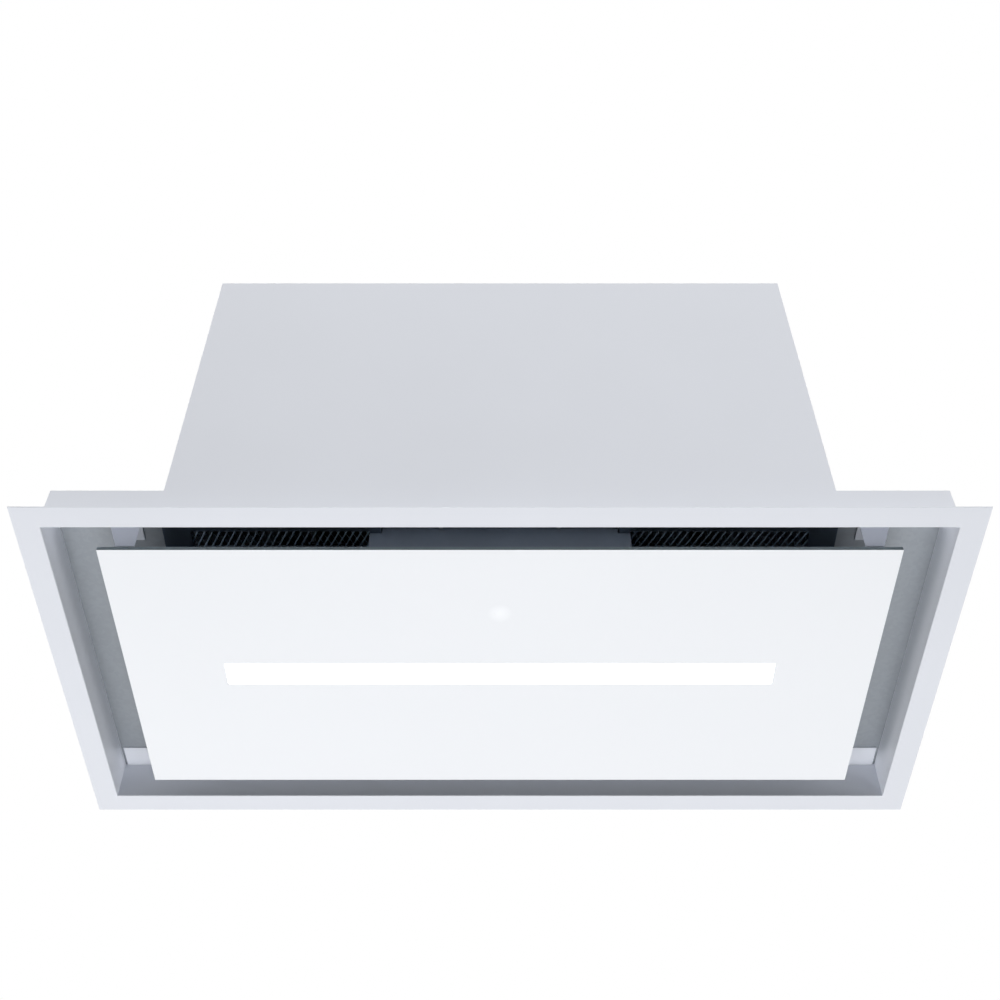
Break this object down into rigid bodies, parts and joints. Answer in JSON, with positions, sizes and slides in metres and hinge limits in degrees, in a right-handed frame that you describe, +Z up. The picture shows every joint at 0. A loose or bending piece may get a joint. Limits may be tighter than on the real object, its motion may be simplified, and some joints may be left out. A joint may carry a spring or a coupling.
{
  "type": "ceiling range hood",
  "caption": "Ceiling-recessed range hood with a flush trim frame, hinged glass light panel with edge suction, mesh filters and a ducted blower box.",
  "frame": {"origin": "centre of the trim frame's underside, the plane that lies on the ceiling's finished face", "axes": "+Z up into the ceiling and along the duct spigot, +X to the right along the long side, -Y towards the front, where the panel's catches are"},
  "size_m": [1, 0.5, 0.521],
  "materials": {
    "white_enamel": "satin white powder coat",
    "galvanised_sheet": "galvanised sheet",
    "slate_enamel": "matte slate grey coat",
    "zinc_steel": "zinc-plated steel",
    "magnet_nickel": "nickel-plated magnet",
    "white_glass": "polished glass, white printed back",
    "opal_acrylic": "satin opal acrylic",
    "lens_plastic": "translucent lens",
    "aluminium": "plain aluminium",
    "board_laminate": "green circuit board",
    "chip_phosphor": "yellow phosphor",
    "grey_plastic": "matte grey plastic",
    "wheel_steel": "galvanised blower wheel",
    "black_plastic": "matte black plastic",
    "can_aluminium": "drawn aluminium can",
    "filter_aluminium": "dark anodised aluminium frame",
    "mesh_aluminium": "expanded aluminium, darkened"
  },
  "bodies": {
    "hood": {"trim_frame": "white_enamel", "front_skin": "white_enamel", "rear_skin": "white_enamel", "collar_side_right": "white_enamel", "collar_side_left": "white_enamel", "box_side_right": "white_enamel", "box_side_left": "white_enamel", "top_plate": "white_enamel", "ceiling_plate": "galvanised_sheet", "hanger_rail_right": "galvanised_sheet", "hanger_rail_left": "galvanised_sheet", "hinge_bracket_right": "galvanised_sheet", "hinge_bracket_left": "galvanised_sheet", "hinge_pins": "zinc_steel", "catch_bracket_right": "white_enamel", "catch_bracket_left": "white_enamel", "catch_magnets": "magnet_nickel", "filter_magnets": "magnet_nickel", "centre_housing": "slate_enamel", "main_board": "board_laminate", "light_driver": "grey_plastic", "scroll_wrap": "galvanised_sheet", "scroll_side_right": "galvanised_sheet", "scroll_side_left": "galvanised_sheet", "outlet_flange": "galvanised_sheet", "motor": "aluminium", "motor_spider": "galvanised_sheet", "duct_spigot": "black_plastic", "flap_pin": "zinc_steel", "cable_gland": "black_plastic", "gland_nut": "black_plastic", "terminal_box": "black_plastic", "terminal_cover": "black_plastic", "terminal_strip": "grey_plastic", "run_capacitor": "can_aluminium", "capacitor_strap": "galvanised_sheet", "spigot_screws": "zinc_steel", "outlet_screws": "zinc_steel", "bracket_screws": "zinc_steel"},
    "panel": {"glass_panel": "white_glass", "panel_tray": "galvanised_sheet", "light_diffuser": "opal_acrylic", "light_channel": "aluminium", "light_board": "board_laminate", "light_chips": "chip_phosphor", "indicator_lens": "lens_plastic", "sensor_board": "board_laminate", "hinge_knuckles": "zinc_steel", "strike_plates": "zinc_steel"},
    "filter_right": {"filter_frame_right": "filter_aluminium", "filter_mesh_right": "mesh_aluminium", "filter_grip_right": "zinc_steel"},
    "filter_left": {"filter_frame_left": "filter_aluminium", "filter_mesh_left": "mesh_aluminium", "filter_grip_left": "zinc_steel"},
    "blower_wheel": {"impeller": "wheel_steel", "motor_shaft": "zinc_steel"},
    "flap_right": {"flap_right": "black_plastic"},
    "flap_left": {"flap_left": "black_plastic"}
  },
  "joints": [
    {"name": "panel_swing", "type": "hinge", "parent": "hood", "child": "panel", "pos_m": [0, 0.18, 0.014], "axis": [1, 0, 0], "range_deg": [0, 90]},
    {"name": "filter_tilt_right", "type": "hinge", "parent": "hood", "child": "filter_right", "pos_m": [0.1395, 0, 0.0423], "axis": [0, 1, 0], "range_deg": [0, 6]},
    {"name": "filter_tilt_left", "type": "hinge", "parent": "hood", "child": "filter_left", "pos_m": [-0.1395, 0, 0.0423], "axis": [0, -1, 0], "range_deg": [0, 6]},
    {"name": "wheel_spin", "type": "hinge", "parent": "hood", "child": "blower_wheel", "pos_m": [0, -0.08, 0.235], "axis": [1, 0, 0], "continuous": true},
    {"name": "flap_swing_right", "type": "hinge", "parent": "hood", "child": "flap_right", "pos_m": [0, 0, 0.471], "axis": [0, -1, 0], "range_deg": [0, 75]},
    {"name": "flap_swing_left", "type": "hinge", "parent": "hood", "child": "flap_left", "pos_m": [0, 0, 0.471], "axis": [0, 1, 0], "range_deg": [0, 75]}
  ]
}
